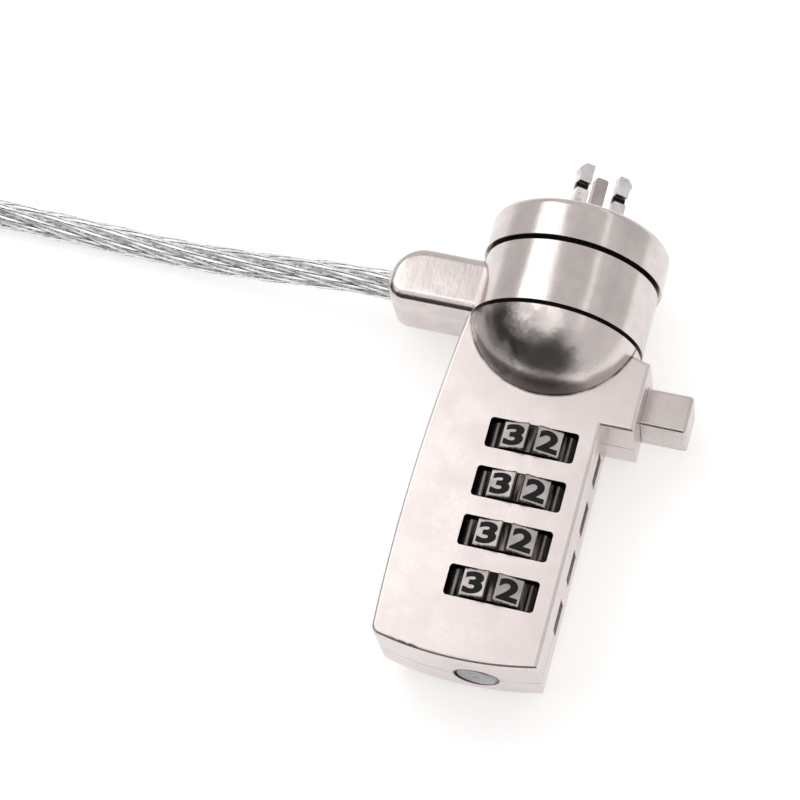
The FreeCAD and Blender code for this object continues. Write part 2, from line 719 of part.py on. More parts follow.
def make_plunger():
    """The disc in the bottom end that is pushed in to set a new code."""
    body = dial_axis_body("reset_plunger")
    radius, edge, dimple = D["plunger_radius"], D["plunger_edge"], D["plunger_dimple"]
    end = D["bottom_middle"] + D["plunger_edge"] / 2
    flange, step = D["plunger_flange"], D["plunger_ledge"] + D["running_gap"]
    inside, top, floor = D["plunger_spring_room"], step + D["flange_deep"], end + D["plunger_floor"]
    spun(body, [(0, end + edge), (dimple, end), (radius - edge, end), (radius, end + edge),
                (radius, step), (flange, step), (flange, top), (inside, top),
                (inside, floor), (0, floor)])
    return body


def make_hook(label, side):
    """A notched hook; side is -1 for the left one and 1 for the right one."""
    body = hook_body(label)
    outer = D["hook_span"] / 2
    inner, barb = outer - D["hook_wide"], outer + D["barb_out"]
    top, foot = D["hook_top"], D["carrier_high"] - D["hook_seat"]
    travel, half = D["hook_travel"], D["hook_thick"] / 2
    face = sketch_on(body, "XY_Plane", f"{label}_outline", travel - half)
    outline(face, [(inner * side, foot), (outer * side, foot),
                   (outer * side, top - D["barb_low"]), (barb * side, top - D["barb_ledge"]),
                   (barb * side, top - D["barb_top"]), ((barb - D["barb_slope"]) * side, top),
                   (inner * side, top)])
    feature(body, "Pad", f"{label}_pad", face, D["hook_thick"])
    wide = D["hook_span"]
    bar(body, "notch", (-wide, D["notch_low"], travel + half - D["notch_deep"]),
        (wide, D["notch_high"], travel + half + 1), cut=True)
    return body


def make_hook_carrier():
    """The block that holds both hooks and is pushed across by the spindle's cone."""
    body = hook_body("hook_carrier")
    half = D["hook_span"] / 2 + D["running_gap"]
    low, high, travel = D["carrier_low"], D["carrier_high"], D["hook_travel"]
    bar(body, "block", (-half, low, D["carrier_back"]), (half, high, D["carrier_front"]))
    gap = D["carrier_gap"]
    blade, thick = D["blade_wide"] / 2 + gap, D["blade_thick"] / 2 + gap
    bar(body, "blade_window", (-blade, low - 1, -thick), (blade, high + 1, thick + travel),
        cut=True)
    outer, inner = D["hook_span"] / 2, D["hook_span"] / 2 - D["hook_wide"]
    hook_half, foot = D["hook_thick"] / 2, high - D["hook_seat"]
    for side, low_x, high_x in (("left", -outer, -inner), ("right", inner, outer)):
        bar(body, f"{side}_seat", (low_x, foot, travel - hook_half),
            (high_x, high + 1, travel + hook_half), cut=True)
    turn, drop = HOOK_TURN, D["parting_height"] - D["barrel_height"]
    across = -D["barrel_across"] * math.cos(turn) - drop * math.sin(turn) - D["hook_across"]
    depth = -D["barrel_across"] * math.sin(turn) + drop * math.cos(turn)
    play, tip, aside = D["ramp_play"], D["tip_radius"], D["ramp_half"]
    ramp = sketch_on(body, "YZ_Plane", "carrier_ramp", across - aside)
    start = depth - tip - play - (D["tip_low"] - low)
    far = depth + tip + travel + play * 2
    under = D["tip_point"]
    outline(ramp, [(low - under, start - under), (low + far - start, far), (low - under, far)])
    feature(body, "Pocket", "carrier_ramp_cut", ramp, aside * 2, back=True)
    return body


def make_centre_blade():
    """The fixed tongue between the hooks, seated in the top of the stem."""
    body = hook_body("centre_blade")
    half, thick, top = D["blade_wide"] / 2, D["blade_thick"] / 2, D["blade_top"]
    blade = bar(body, "tongue", (-half, D["stem_high"], -thick), (half, top, thick))
    rounded(body, "tongue_top", blade, D["blade_edge"], lambda m, e: near(m.y, top.value),
            "Chamfer")
    return body


def make_leaf_spring():
    """The dials' click spring: a strip with one finger for each dial."""
    left, thick, gap = D["leaf_left"], D["leaf_thick"], D["leaf_gap"]
    strip = block("leaf_strip", (left, -D["leaf_half"], D["leaf_back"] + gap),
                  (left + thick, D["leaf_half"], D["leaf_front"] - gap))
    fingers = [strip]
    half, start = D["finger_half"], D["leaf_back"] + D["finger_level"]
    for number, level in enumerate(DIAL_LEVELS, start=1):
        fingers.append(block(f"leaf_finger_{number}", (left, level - half, start),
                             (D["finger_end"], level + half, start + thick)))
    return keep(joined("leaf_spring_all", *fingers), "detent_spring")


def make_spring_seat():
    """The stamped plate that the button's spring pushes against."""
    height, left, low, half = D["parting_height"], D["seat_left"], D["chamber_low"], D["seat_half"]
    return keep(block("seat_plate", (left, low, height - half),
                      (left + D["seat_thick"], low + D["seat_tall"], height + half)),
                "spring_seat")


def make_dowels():
    """Three blind dowel pins that hold the case halves in line."""
    pins = [rod(f"dowel_{number}", "Z", (x, y, PIN_LOW), PIN_RADIUS, PIN_HIGH - PIN_LOW)
            for number, (x, y) in enumerate(PIN_PLACES, start=1)]
    return group("case_dowels", pins)


SPRING_WIRE = 0.4


def make_coil_spring(label, along, start, radius, length, turns):
    """A compression spring of round wire, drawn at its length at rest."""
    pitch = length / turns
    path = Part.makeHelix(pitch, length, radius)
    section = Part.Wire(Part.makeCircle(SPRING_WIRE / 2, Vector(radius, 0, 0), Vector(0, 1, 0)))
    shape = path.makePipeShell([section], True, True)
    spring = doc.addObject("Part::Feature", f"{label}_wire")
    spring.Shape = shape
    spring.Placement = FreeCAD.Placement(Vector(*[size(v).value for v in start]), TURN[along])
    return keep(spring, label)


def make_springs():
    """Each spring stands half a wire clear of what it pushes on at each end."""
    height, half = D["parting_height"], SPRING_WIRE / 2
    springs = [
        ("button_spring", "X", D["seat_left"] + D["seat_thick"], D["button_spring_end"], 1.05, 7),
        ("spindle_spring", "Y", D["head_low"] + D["head_thick"], D["spring_shoulder"], 1.6, 6),
        ("plunger_spring", "Y", D["bottom_middle"] + D["plunger_edge"] / 2 + D["plunger_floor"],
         D["spindle_low"], 1.2, 3),
    ]
    for label, along, low, high, radius, turns in springs:
        first, length = low.value + half, high.value - low.value - half * 2
        start = (first, D["spring_level"], height) if along == "X" else (0, first, height)
        make_coil_spring(label, along, start, radius, length, turns)


# ---------------------------------------------------------------- cable
# The route from the lug along the surface to the coil, chosen by hand: (x, y, z).
CABLE_ROUTE = [(-19.0, 27.2, 7.7), (-27.0, 27.2, 7.7), (-38.0, 27.5, 4.9),
               (-51.0, 28.0, 2.35), (-66.0, 28.6, 2.05), (-82.0, 28.9, 2.1),
               (-97.0, 28.2, 2.1)]
COIL_MIDDLE = (-107.2, -5.3)
COIL_INNER, COIL_OUTER, COIL_HIGH = 11.3, 35.7, 8.4
# The end loop lies on the coil: (x, y) from the coil's middle, then the height.
LOOP_ROUTE = [(-20.6, -26.4, 7.5), (-8.1, -32.5, 9.7), (6.4, -32.9, 10.4),
              (19.4, -27.3, 10.4), (27.8, -19.5, 10.4), (28.0, -7.8, 10.6),
              (20.0, 0.8, 11.1), (2.0, 1.1, 11.1), (-8.9, 13.9, 10.6),
              (-22.6, 15.3, 10.4), (-32.8, 6.1, 10.4), (-32.8, -7.7, 10.4),
              (-22.6, -16.9, 10.4), (-8.9, -15.5, 10.6), (2.0, -3.1, 11.1),
              (12.4, -3.1, 11.1)]
FERRULE_LOW, FERRULE_HIGH = (2.4, -6.1, 8.45), (13.4, 4.1, 13.8)
TIE_TURN, TIE_WIDE, TIE_THICK = 48, 9.0, 0.8


def route_wire(points):
    """Straight runs joined by tangent arcs; prints the arcs' radii."""
    corners = [Vector(*point) for point in points]
    start, edges, radii = corners[0], [], []
    for before, corner, after in zip(corners, corners[1:], corners[2:]):
        back, on = (before - corner), (after - corner)
        reach = 0.45 * min(back.Length, on.Length)
        turn = math.pi - back.getAngle(on)
        radii.append(reach / math.tan(turn / 2))
        back.normalize()
        on.normalize()
        first, last = corner + back * reach, corner + on * reach
        inward = (back + on).normalize()
        gap = radii[-1] * (1 / math.cos(turn / 2) - 1)
        edges.append(Part.LineSegment(start, first).toShape())
        edges.append(Part.Arc(first, corner + inward * gap, last).toShape())
        start = last
    edges.append(Part.LineSegment(start, corners[-1]).toShape())
    print("arc radii", [round(radius, 1) for radius in radii])
    return Part.Wire(edges)


def make_tube(label, points):
    radius = D["cable_diameter"].value / 2
    path = route_wire(points)
    along = Vector(*points[1]) - Vector(*points[0])
    section = Part.Wire(Part.makeCircle(radius, Vector(*points[0]), along))
    shape = path.makePipeShell([section], True, False)
    expected = math.pi * radius ** 2 * path.Length
    print(f"{label} length {path.Length:.1f}, volume {shape.Volume / expected:.4f} of section")
    tube = doc.addObject("Part::Feature", f"{label}_tube")
    tube.Shape = shape
    return keep(tube, label)


def make_cable():
    make_tube("cable_run", CABLE_ROUTE)
    x, y = COIL_MIDDLE
    make_tube("cable_loop", [(x + across, y + up, height) for across, up, height in LOOP_ROUTE])
    outer = rod("coil_outer", "Z", (x, y, 0), COIL_OUTER, COIL_HIGH)
    inner = rod("coil_inner", "Z", (x, y, 0), COIL_INNER, COIL_HIGH)
    keep(minus("coil_ring", outer, inner), "cable_coil")
    low, high = ((x + corner[0], y + corner[1], corner[2])
                 for corner in (FERRULE_LOW, FERRULE_HIGH))
    ferrule = block("ferrule_block", low, high)
    keep(ferrule, "loop_ferrule")
    long = COIL_OUTER - COIL_INNER + TIE_THICK * 2
    outside = block("tie_outside", (0, 0, 0), (long, TIE_WIDE, COIL_HIGH + TIE_THICK))
    inside = block("tie_inside", (TIE_THICK, 0, TIE_THICK),
                   (long - TIE_THICK, TIE_WIDE, COIL_HIGH))
    band = minus("tie_band", outside, inside)
    turn = math.radians(TIE_TURN)
    radial, sideways = COIL_INNER - TIE_THICK, TIE_WIDE / 2
    band.Placement = FreeCAD.Placement(
        Vector(x + radial * math.cos(turn) + sideways * math.sin(turn),
               y + radial * math.sin(turn) - sideways * math.cos(turn), 0),
        FreeCAD.Rotation(Vector(0, 0, 1), TIE_TURN))
    keep(band, "coil_tie")


make_cable()
make_front_case()
make_rear_case()
make_dowels()
make_leaf_spring()
for number, level in enumerate(DIAL_LEVELS, start=1):
    make_dial(number, level)
    make_hub(number, level)
make_barrel_stem()
make_washers()
make_collar()
make_cable_stop()
make_cap()
make_cap_ring()
make_centre_blade()
make_hook("left_hook", -1)
make_hook("right_hook", 1)
make_hook_carrier()
make_button()
make_spring_seat()
make_spindle()
make_plunger()
make_springs()


# ---------------------------------------------------------------- checks and files
def check_and_write():
    doc.recompute()
    for obj in doc.Objects:
        bad = [state for state in obj.State if state in ("Invalid", "Error")]
        if bad:
            raise RuntimeError(f"{obj.Label} is {bad}")
    os.makedirs("parts", exist_ok=True)
    for label, obj in NODES.items():
        shape = obj.Shape
        if shape.isNull() or not shape.isValid():
            raise RuntimeError(f"{label} has no valid shape")
        print(f"{label:20s} solids {len(shape.Solids)}  volume {shape.Volume:9.2f}")
        shape.exportStep(f"parts/{label}.step")


check_and_write()
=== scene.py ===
"""Looks of the laptop cable lock: its metals, the dials' digits, the clear-jacketed steel
cable with its coil and end loop, a studio floor, soft light and the camera.

Lengths are in metres; MM turns millimetres into metres."""

import json
import math

import bmesh
import bpy
from mathutils import Matrix, Vector


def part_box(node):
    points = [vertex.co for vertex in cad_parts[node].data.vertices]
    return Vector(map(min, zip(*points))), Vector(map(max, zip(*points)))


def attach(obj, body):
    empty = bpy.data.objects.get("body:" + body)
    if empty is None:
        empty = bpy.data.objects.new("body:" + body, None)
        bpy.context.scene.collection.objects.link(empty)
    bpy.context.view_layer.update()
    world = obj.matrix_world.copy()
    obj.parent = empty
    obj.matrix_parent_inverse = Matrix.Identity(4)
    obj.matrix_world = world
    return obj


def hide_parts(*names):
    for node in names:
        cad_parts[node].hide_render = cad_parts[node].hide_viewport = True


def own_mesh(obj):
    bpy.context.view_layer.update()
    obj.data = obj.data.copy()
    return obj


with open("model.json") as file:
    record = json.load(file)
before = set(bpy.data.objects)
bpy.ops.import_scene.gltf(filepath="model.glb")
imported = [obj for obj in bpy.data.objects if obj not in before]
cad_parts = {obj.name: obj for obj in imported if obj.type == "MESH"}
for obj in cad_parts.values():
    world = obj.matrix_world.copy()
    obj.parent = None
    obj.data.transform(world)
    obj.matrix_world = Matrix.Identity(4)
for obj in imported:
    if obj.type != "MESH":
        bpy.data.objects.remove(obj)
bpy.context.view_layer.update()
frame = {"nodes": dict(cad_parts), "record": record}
MM = 0.001
NODES = frame["nodes"]


# ---------------------------------------------------------------- camera
CAMERA_AT = Vector((46.80, -92.20, 283.95)) * MM
CAMERA_RIGHT = Vector((0.95661, 0.26459, -0.12204))
CAMERA_DOWN = Vector((0.19925, -0.89961, -0.38859))
CAMERA_FORWARD = Vector((-0.21260, 0.34741, -0.91330))
CAMERA_LENS = 115.15


def make_camera():
    data = bpy.data.cameras.new("camera")
    data.lens = CAMERA_LENS
    data.sensor_width = 36.0
    data.clip_start = 0.01
    camera = bpy.data.objects.new("camera", data)
    bpy.context.scene.collection.objects.link(camera)
    turn = Matrix((CAMERA_RIGHT, -CAMERA_DOWN, -CAMERA_FORWARD)).transposed()
    camera.matrix_world = Matrix.Translation(CAMERA_AT) @ turn.to_4x4()
    bpy.context.scene.camera = camera


# ---------------------------------------------------------------- node helpers
class Nodes:
    """A small wrapper that adds shader nodes and links them."""

    def __init__(self, tree):
        self.tree = tree
        tree.nodes.clear()

    def add(self, kind, settings=None, **inputs):
        """Adds a node; inputs are values or sockets, named with _ for spaces."""
        node = self.tree.nodes.new(kind)
        for key, value in (settings or {}).items():
            setattr(node, key, value)
        for key, value in inputs.items():
            self.feed(node, key.replace("_", " "), value)
        return node

    def feed(self, node, socket, value):
        target = node.inputs[int(socket[3:])] if socket.startswith("at ") else node.inputs[socket]
        if isinstance(value, bpy.types.NodeSocket):
            self.tree.links.new(value, target)
        else:
            target.default_value = value

    def maths(self, operation, first, second=0.0):
        return self.add("ShaderNodeMath", {"operation": operation},
                        at_0=first, at_1=second).outputs[0]

    def ranged(self, value, low, high, start=0.0, end=1.0, smooth=True):
        kind = "SMOOTHSTEP" if smooth else "LINEAR"
        return self.add("ShaderNodeMapRange", {"interpolation_type": kind}, Value=value,
                        From_Min=low, From_Max=high, To_Min=start, To_Max=end).outputs[0]

    def noise(self, place, scale, detail=2.0, roughness=0.5, stretch=None):
        if stretch:
            place = self.add("ShaderNodeMapping", Vector=place, Scale=stretch).outputs[0]
        return self.add("ShaderNodeTexNoise", Vector=place, Scale=scale, Detail=detail,
                        Roughness=roughness).outputs["Fac"]

    def blend(self, share, first, second):
        """Mixes two colours by share."""
        node = self.add("ShaderNodeMix", {"data_type": "RGBA"})
        for index, value in ((0, share), (6, first), (7, second)):
            self.feed(node, f"at {index}", value)
        return node.outputs[2]

    def bump(self, height, distance, strength=1.0):
        return self.add("ShaderNodeBump", Height=height, Distance=distance,
                        Strength=strength).outputs[0]

    def apart(self, place, middle):
        """The distance of place from a fixed point."""
        return self.add("ShaderNodeVectorMath", {"operation": "DISTANCE"}, at_0=place,
                        at_1=middle).outputs["Value"]

    def both(self, first, second):
        """The product of two values; of two masks, where both are 1."""
        return self.maths("MULTIPLY", first, second)

    def either(self, first, second):
        """The larger of two masks."""
        return self.maths("MAXIMUM", first, second)


def new_material(name):
    material = bpy.data.materials.new(name)
    material.use_nodes = True
    nodes = Nodes(material.node_tree)
    shader = nodes.add("ShaderNodeBsdfPrincipled")
    out = nodes.add("ShaderNodeOutputMaterial")
    nodes.tree.links.new(shader.outputs[0], out.inputs[0])
    return material, nodes, shader


def colour(*values):
    return (*values, 1.0)


# ---------------------------------------------------------------- light and floor
WARM_WHITE = (1.0, 0.985, 0.975)
STUDIO_BASE, STUDIO_UNEVEN, STUDIO_LEAST = 0.74, 0.16, 0.03
# direction, outer and inner angle, change of brightness
STUDIO_PATCHES = [
    ((-0.12, -0.90, 0.33), 50, 34, -0.68),
    ((-0.94, -0.26, 0.20), 32, 18, -0.66),
    ((-0.20, -0.29, 0.93), 19, 9, 1.0),
    ((-0.66, -0.30, 0.68), 13, 5, 0.50),
]
# angle from straight up towards +X, inner and outer half width, change of brightness
STUDIO_STRIPS = [(-44, 1, 4, 0.30), (36, 1, 5, 0.50), (-64, 4, 14, -0.05), (62, 4, 10, -0.06)]


def make_world():
    """A plain studio: a pale base with soft bright and dark patches and narrow strips."""
    world = bpy.data.worlds.new("studio")
    world.use_nodes = True
    bpy.context.scene.world = world
    nodes = Nodes(world.node_tree)
    way = nodes.add("ShaderNodeTexCoord").outputs["Generated"]
    unit = nodes.add("ShaderNodeVectorMath", {"operation": "NORMALIZE"}, at_0=way).outputs[0]
    cloud = nodes.noise(unit, 5.0, 4.0, 0.65)

    def dot(direction):
        return nodes.add("ShaderNodeVectorMath", {"operation": "DOT_PRODUCT"}, at_0=unit,
                         at_1=Vector(direction).normalized()).outputs["Value"]

    def limit(degrees):
        return math.cos(math.radians(degrees))

    level = nodes.maths("MULTIPLY_ADD", cloud, STUDIO_UNEVEN)
    nodes.feed(level.node, "at 2", STUDIO_BASE - STUDIO_UNEVEN / 2)
    for direction, far, near, change in STUDIO_PATCHES:
        uneven = nodes.maths("ADD", dot(direction), nodes.ranged(cloud, 0.3, 0.7, -0.12, 0.12))
        patch = nodes.ranged(uneven, limit(far), limit(near), 0.0, change)
        level = nodes.maths("ADD", level, patch)
    for angle, inner, outer, change in STUDIO_STRIPS:
        turn = math.radians(angle)
        beside = nodes.maths("ABSOLUTE", dot((math.cos(turn), 0, -math.sin(turn))))
        strip = nodes.ranged(beside, math.sin(math.radians(inner)),
                             math.sin(math.radians(outer)), change, 0.0)
        above = nodes.ranged(dot((math.sin(turn), 0.5, math.cos(turn))), 0.55, 0.8)
        level = nodes.maths("ADD", level, nodes.maths("MULTIPLY", strip, above))
    level = nodes.maths("MAXIMUM", level, STUDIO_LEAST)
    back = nodes.add("ShaderNodeBackground", Color=colour(*WARM_WHITE), Strength=level)
    out = nodes.add("ShaderNodeOutputWorld")
    nodes.tree.links.new(back.outputs[0], out.inputs[0])


def make_area(name, at, aim, size, power):
    data = bpy.data.lights.new(name, "AREA")
    data.shape = "RECTANGLE"
    data.size, data.size_y = size
    data.energy = power
    data.color = WARM_WHITE
    light = bpy.data.objects.new(name, data)
    bpy.context.scene.collection.objects.link(light)
    light.location = Vector(at)
    light.rotation_mode = "QUATERNION"
    light.rotation_quaternion = (Vector(aim) - Vector(at)).to_track_quat("-Z", "Y")


# The floor's glow fades with distance, so the polished dome has a darker horizon.
FLOOR_BRIGHT, FLOOR_DIM = 0.095, 0.19
FLOOR_GLOW, FLOOR_GLOW_FAR = 0.40, 0.04
FLOOR_RADIUS, FLOOR_DROP = 1.6, 0.02 * MM


def make_floor():
    bpy.ops.mesh.primitive_circle_add(vertices=96, radius=FLOOR_RADIUS, fill_type="NGON",
                                      location=(0, 0, -FLOOR_DROP))
    floor = bpy.context.object
    floor.name = "floor"
    material, nodes, shader = new_material("floor_paper")
    place = nodes.add("ShaderNodeTexCoord").outputs["Object"]
    grain = nodes.noise(place, 900.0, 3.0)
    nodes.feed(shader, "Base Color", nodes.blend(grain, colour(0.93, 0.93, 0.93),
                                                 colour(0.96, 0.96, 0.96)))
    nodes.feed(shader, "Roughness", 0.9)
    nodes.feed(shader, "Specular IOR Level", 0.1)
    nodes.feed(shader, "Emission Color", colour(1.0, 1.0, 1.0))
    away = nodes.add("ShaderNodeVectorMath", {"operation": "LENGTH"}, at_0=place)
    nodes.feed(shader, "Emission Strength",
               nodes.ranged(away.outputs["Value"], FLOOR_BRIGHT, FLOOR_DIM, FLOOR_GLOW,
                            FLOOR_GLOW_FAR))
    floor.data.materials.append(material)


# ---------------------------------------------------------------- materials
DIAL_HEIGHT, DIAL_PITCH, CASE_THICK = 7.9 * MM, 6.08 * MM, 13.6 * MM
DIAL_GROOVE, DIAL_FLAT = 6.34 * MM, 6.52 * MM
WINDOW_HALF, WINDOWS_REACH = 5.37 * MM, 11.35 * MM
PLUNGER_RADIUS = 2.5 * MM
# Near-black for grime in the joints and pits, painted shade in the windows, grooves, gaps and
# creases, and a painted dark reflection on the dome.
GRIME_SHADE_AND_REFLECTION = (0.018, 0.016, 0.016)
DOME_MIDDLE, DOME_RADIUS = Vector((-0.9, 25.0, 10.75)) * MM, 10.55 * MM
# The middle of the dome's painted dark reflection.
DARK_REFLECTION_MIDDLE = Vector((-7.2, 19.4, 16.4)) * MM
# half of a dial's width, as a share of the pitch
DIAL_RIM = 3.3 / 6.08 / 2
SHINE_SHARE, DOME_GRAIN = 0.72, 6.0
NOTCH_LEVEL, NOTCH_HALF = 42.27 * MM, 0.42 * MM


def metal(name, base, roughness, spread, grain_scale, grain_deep, streak=None, dirt=0.25,
          marks=None, shine=None):
    """A metal with fine grain, uneven gloss and slightly darker worn patches.

    marks(nodes, place) gives a mask, 1 where the colour turns near-black with grime, painted
    shade and painted dark reflections, and shine(nodes, place) one of where the metal is polished
    brighter."""
    material, nodes, shader = new_material(name)
    place = nodes.add("ShaderNodeTexCoord").outputs["Object"]
    cloud = nodes.noise(place, 260.0, 4.0, 0.6)
    grain = nodes.noise(place, grain_scale, 3.0, 0.65, streak)
    dark = colour(*(value * (1 - dirt) for value in base))
    tone = nodes.blend(nodes.ranged(cloud, 0.35, 0.68), dark, colour(*base))
    if marks:
        # Near-black where the marks mask is 1: grime, painted shade and painted dark reflections.
        tone = nodes.blend(marks(nodes, place), tone, colour(*GRIME_SHADE_AND_REFLECTION))
    nodes.feed(shader, "Base Color", tone)
    nodes.feed(shader, "Metallic", 1.0)
    gloss = nodes.maths("ADD", nodes.ranged(cloud, 0.3, 0.7, roughness + spread, roughness),
                        nodes.ranged(grain, 0.2, 0.8, -spread, spread, False))
    if shine:
        polished = shine(nodes, place)
        gloss = nodes.both(gloss, nodes.ranged(polished, 0.0, 1.0, 1.0, SHINE_SHARE))
        grain = nodes.both(grain, nodes.ranged(polished, 0.0, 1.0, 1.0, DOME_GRAIN))
    nodes.feed(shader, "Roughness", gloss)
    nodes.feed(shader, "Normal", nodes.bump(grain, grain_deep))
    return material


def split(nodes, place):
    return nodes.add("ShaderNodeSeparateXYZ", Vector=place).outputs


def from_dial_axis(nodes, parts):
    """The distance from the line that the dials and the plunger share."""
    across = nodes.maths("POWER", parts[0], 2.0)
    height = nodes.maths("SUBTRACT", parts[2], DIAL_HEIGHT)
    return nodes.maths("SQRT", nodes.maths("ADD", across, nodes.maths("POWER", height, 2.0)))


def near_to(nodes, value, target, full, none):
    """1 within full of the target, falling to 0 at none."""
    apart = nodes.maths("ABSOLUTE", nodes.maths("SUBTRACT", value, target))
    return nodes.ranged(apart, full, none, 1.0, 0.0)


def dial_groove_shade(nodes, place):
    """Painted shade in the grooves between a dial's pads and along its two rims."""
    parts = split(nodes, place)
    # Painted shade in the grooves, where the surface dips below the pads.
    groove = nodes.ranged(from_dial_axis(nodes, parts), DIAL_GROOVE, DIAL_FLAT, 1.0, 0.0)
    turns = nodes.maths("FRACT", nodes.maths("ADD", nodes.maths("DIVIDE", parts[1],
                                                                DIAL_PITCH), 8.0))
    rim = nodes.ranged(nodes.maths("ABSOLUTE", nodes.maths("SUBTRACT", turns, 0.5)),
                       DIAL_RIM - 0.034, DIAL_RIM - 0.010)
    uneven = nodes.ranged(nodes.noise(place, 2600.0, 3.0, 0.5, (1.0, 0.12, 1.0)), 0.35, 0.6,
                          0.62, 1.0)
    return nodes.both(nodes.either(groove, rim), uneven)


def case_grime_shade_and_reflection(nodes, place):
    """Painted shade in the windows, round the plunger's gap and in the crease at the dome's foot,
    grime in the joints, and the dome's painted dark reflection.
    """
    parts = split(nodes, place)
    broken = nodes.ranged(nodes.noise(place, 420.0, 3.0), 0.34, 0.56, 0.25, 0.8)
    # Painted shade on the windows' inner walls, below the front face.
    inside = nodes.both(window_shade(nodes, parts),
                        nodes.ranged(parts[2], CASE_THICK - 0.24 * MM, CASE_THICK - 0.1 * MM,
                                     1.0, 0.0))
    joint = nodes.both(near_to(nodes, parts[2], DIAL_HEIGHT, 0.05 * MM, 0.11 * MM), broken)
    # Painted shade: a dark ring in the gap round the plunger's hole, kept to the plunger's end of
    # the case.
    ring = nodes.both(near_to(nodes, from_dial_axis(nodes, parts), PLUNGER_RADIUS, 0.16 * MM,
                              0.26 * MM),
                      nodes.ranged(parts[1], -15.0 * MM, -14.0 * MM, 0.9, 0.0))
    # Painted shade: a broken dark line in the crease where the dome meets the front face.
    foot = nodes.both(near_to(nodes, nodes.apart(place, DOME_MIDDLE), DOME_RADIUS, 0.08 * MM,
                              0.24 * MM),
                      near_to(nodes, parts[2], CASE_THICK, 0.10 * MM, 0.30 * MM))
    foot = nodes.both(foot, nodes.both(broken, 0.9))
    return nodes.either(nodes.either(inside, joint),
                        nodes.either(nodes.either(ring, foot), dome_dark_reflection(nodes, place)))


def window_shade(nodes, parts):
    """1 within the outer limits of the four windows, seen from the front."""
    soft = 0.05 * MM
    return nodes.both(near_to(nodes, parts[0], 0.0, WINDOW_HALF - soft, WINDOW_HALF + soft),
                      near_to(nodes, parts[1], 0.0, WINDOWS_REACH - soft, WINDOWS_REACH + soft))


def dome_dark_reflection(nodes, place):
    """A painted dark reflection: a ragged dark patch on the collar's side of the polished dome.
    """
    ragged = nodes.both(nodes.maths("SUBTRACT", nodes.noise(place, 330.0, 5.0, 0.7), 0.5),
                        12.0 * MM)
    # Painted dark reflection, fading out from its middle.
    near = nodes.ranged(nodes.maths("ADD", nodes.apart(place, DARK_REFLECTION_MIDDLE), ragged), 2.4 * MM,
                        6.4 * MM, 0.60, 0.0)
    return nodes.both(near, dome_shine(nodes, place))


def dome_shine(nodes, place):
    """1 on the polished dome, 0 on the satin faces."""
    return near_to(nodes, nodes.apart(place, DOME_MIDDLE), DOME_RADIUS, 0.02 * MM, 0.05 * MM)


def hook_marks(nodes, place):
    """Dark in the hooks' notches, and grime in small pits."""
    parts = split(nodes, place)
    notch = near_to(nodes, parts[1], NOTCH_LEVEL, NOTCH_HALF, NOTCH_HALF + 0.08 * MM)
    pits = nodes.ranged(nodes.noise(place, 2600.0, 2.0), 0.64, 0.72)
    return nodes.either(notch, nodes.both(pits, 0.55))


def make_materials():
    """The materials by slot name, and a few that single nodes have to themselves."""
    return {
        "case_metal": metal("satin_nickel", (0.73, 0.665, 0.650), 0.28, 0.04, 1900.0, 0.000003,
                            dirt=0.06, marks=case_grime_shade_and_reflection, shine=dome_shine),
        "button_metal": metal("button_nickel", (0.64, 0.58, 0.565), 0.27, 0.05, 2200.0,
                              0.000010, dirt=0.10),
        "polished_metal": metal("polished_nickel", (0.69, 0.63, 0.615), 0.15, 0.04, 1100.0,
                                0.000012, (1.0, 0.30, 1.0), dirt=0.12),
        "dial_metal": metal("dial_nickel", (0.62, 0.565, 0.55), 0.44, 0.06, 2000.0, 0.00003,
                            dirt=0.3, marks=dial_groove_shade),
        "plunger_metal": metal("turned_steel", (0.36, 0.37, 0.375), 0.30, 0.05, 2200.0,
                               0.00004, dirt=0.35),
        "hook_metal": metal("hook_steel", (0.80, 0.775, 0.77), 0.26, 0.07, 1300.0, 0.00009,
                            dirt=0.25, marks=hook_marks),
        "blade_metal": metal("blade_steel", (0.50, 0.43, 0.43), 0.36, 0.05, 1500.0, 0.00003,
                             dirt=0.2),
        "steel": metal("inner_steel", (0.62, 0.62, 0.63), 0.32, 0.05, 2000.0, 0.00002),
        "spring_steel": metal("spring_wire", (0.50, 0.50, 0.52), 0.28, 0.05, 2200.0, 0.00001),
        "brass_hub": metal("turned_brass", (0.78, 0.58, 0.28), 0.28, 0.05, 2000.0, 0.00001),
        "ferrule_metal": metal("pressed_aluminium", (0.78, 0.78, 0.79), 0.34, 0.06, 1600.0,
                               0.00003, dirt=0.15),
        "strand_metal": make_strand_material(),
        "cable": make_jacket_material(),
        "tie_fabric": make_tie_material(),
        "black_washer": make_plain("black_acetal", (0.012, 0.012, 0.013), 0.45),
        "digit_fill": make_plain("black_fill", (0.010, 0.010, 0.011), 0.55),
    }


def make_plain(name, base, roughness):
    """A dull black plastic or paint with a faint mottle."""
    material, nodes, shader = new_material(name)
    place = nodes.add("ShaderNodeTexCoord").outputs["Object"]
    cloud = nodes.noise(place, 2500.0, 3.0)
    light = colour(*(value * 2.2 for value in base))
    nodes.feed(shader, "Base Color", nodes.blend(cloud, colour(*base), light))
    nodes.feed(shader, "Roughness", nodes.ranged(cloud, 0.2, 0.8, roughness, roughness + 0.15))
    nodes.feed(shader, "Specular IOR Level", 0.15)
    nodes.feed(shader, "Normal", nodes.bump(cloud, 0.00001))
    return material


